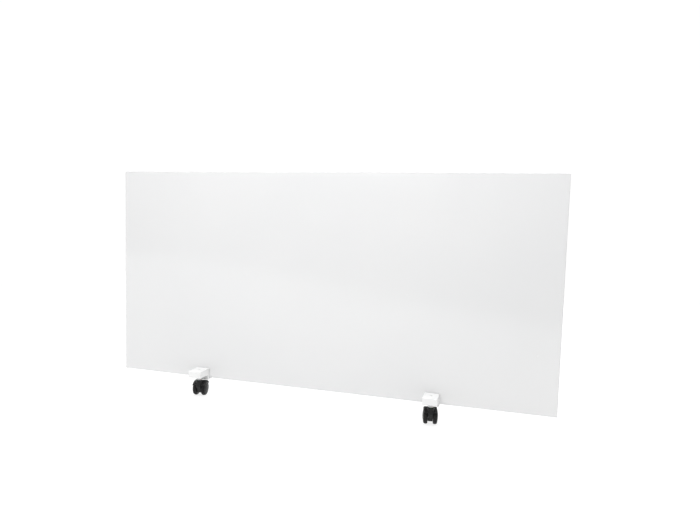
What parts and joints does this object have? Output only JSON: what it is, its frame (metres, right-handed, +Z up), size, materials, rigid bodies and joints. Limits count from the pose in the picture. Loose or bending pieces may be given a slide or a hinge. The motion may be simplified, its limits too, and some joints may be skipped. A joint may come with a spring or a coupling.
{
  "type": "desk privacy panel",
  "caption": "White glossy desk privacy panel with edge clamps that each carry a swivelling black twin-wheel caster on a threaded stem.",
  "frame": {"origin": "on the floor under the middle of the assembly's bounding box, at the board's middle along its length", "axes": "+X along the board, +Y from the clamp arms' side to the clamp screws' side, +Z up"},
  "size_m": [1.2, 0.0742, 0.623],
  "materials": {
    "board": "pressed board, sealed between the facings",
    "laminate": "glossy white laminate",
    "band": "satin white edge band",
    "paint": "satin white powder coat",
    "steel": "zinc plated",
    "black_steel": "black oxide",
    "rubber": "pale silicone, matt",
    "hood": "moulded black nylon",
    "wheel": "moulded black nylon, slight sheen",
    "tread": "soft matt tread",
    "bush": "white acetal"
  },
  "bodies": {
    "board_and_clamps": {"board_core": "board", "front_facing": "laminate", "rear_facing": "laminate", "edge_band_bottom": "band", "edge_band_top": "band", "edge_band_left": "band", "edge_band_right": "band", "left_clamp": "paint", "left_front_pad": "rubber", "left_seat_pad": "rubber", "left_rear_pad": "rubber", "left_pressure_plate": "steel", "left_clamp_screw_a": "black_steel", "left_clamp_screw_b": "black_steel", "left_lock_screw": "steel", "left_stem": "steel", "left_washer": "steel", "left_jam_nut": "steel", "left_stem_ring": "black_steel", "right_clamp": "paint", "right_front_pad": "rubber", "right_seat_pad": "rubber", "right_rear_pad": "rubber", "right_pressure_plate": "steel", "right_clamp_screw_a": "black_steel", "right_clamp_screw_b": "black_steel", "right_lock_screw": "steel", "right_stem": "steel", "right_washer": "steel", "right_jam_nut": "steel", "right_stem_ring": "black_steel"},
    "left_caster": {"left_caster_body": "hood", "left_swivel_sleeve": "bush", "left_axle": "steel", "left_axle_clip_a": "steel", "left_axle_clip_b": "steel"},
    "left_wheel_a_set": {"left_wheel_a": "wheel", "left_tread_a": "tread", "left_hub_cap_a": "wheel"},
    "left_wheel_b_set": {"left_wheel_b": "wheel", "left_tread_b": "tread", "left_hub_cap_b": "wheel"},
    "right_caster": {"right_caster_body": "hood", "right_swivel_sleeve": "bush", "right_axle": "steel", "right_axle_clip_a": "steel", "right_axle_clip_b": "steel"},
    "right_wheel_a_set": {"right_wheel_a": "wheel", "right_tread_a": "tread", "right_hub_cap_a": "wheel"},
    "right_wheel_b_set": {"right_wheel_b": "wheel", "right_tread_b": "tread", "right_hub_cap_b": "wheel"}
  },
  "joints": [
    {"name": "left_swivel", "type": "hinge", "parent": "board_and_clamps", "child": "left_caster", "pos_m": [-0.343, -0.01215, 0.049], "axis": [0, 0, 1], "continuous": true},
    {"name": "left_wheel_a_spin", "type": "hinge", "parent": "left_caster", "child": "left_wheel_a_set", "pos_m": [-0.34508, -0.00033, 0.02], "axis": [0.9848, 0.1736, 0], "continuous": true},
    {"name": "left_wheel_b_spin", "type": "hinge", "parent": "left_caster", "child": "left_wheel_b_set", "pos_m": [-0.34508, -0.00033, 0.02], "axis": [0.9848, 0.1736, 0], "continuous": true},
    {"name": "right_swivel", "type": "hinge", "parent": "board_and_clamps", "child": "right_caster", "pos_m": [0.3035, -0.01215, 0.049], "axis": [0, 0, 1], "continuous": true},
    {"name": "right_wheel_a_spin", "type": "hinge", "parent": "right_caster", "child": "right_wheel_a_set", "pos_m": [0.30142, -0.00033, 0.02], "axis": [0.9848, 0.1736, 0], "continuous": true},
    {"name": "right_wheel_b_spin", "type": "hinge", "parent": "right_caster", "child": "right_wheel_b_set", "pos_m": [0.30142, -0.00033, 0.02], "axis": [0.9848, 0.1736, 0], "continuous": true}
  ]
}
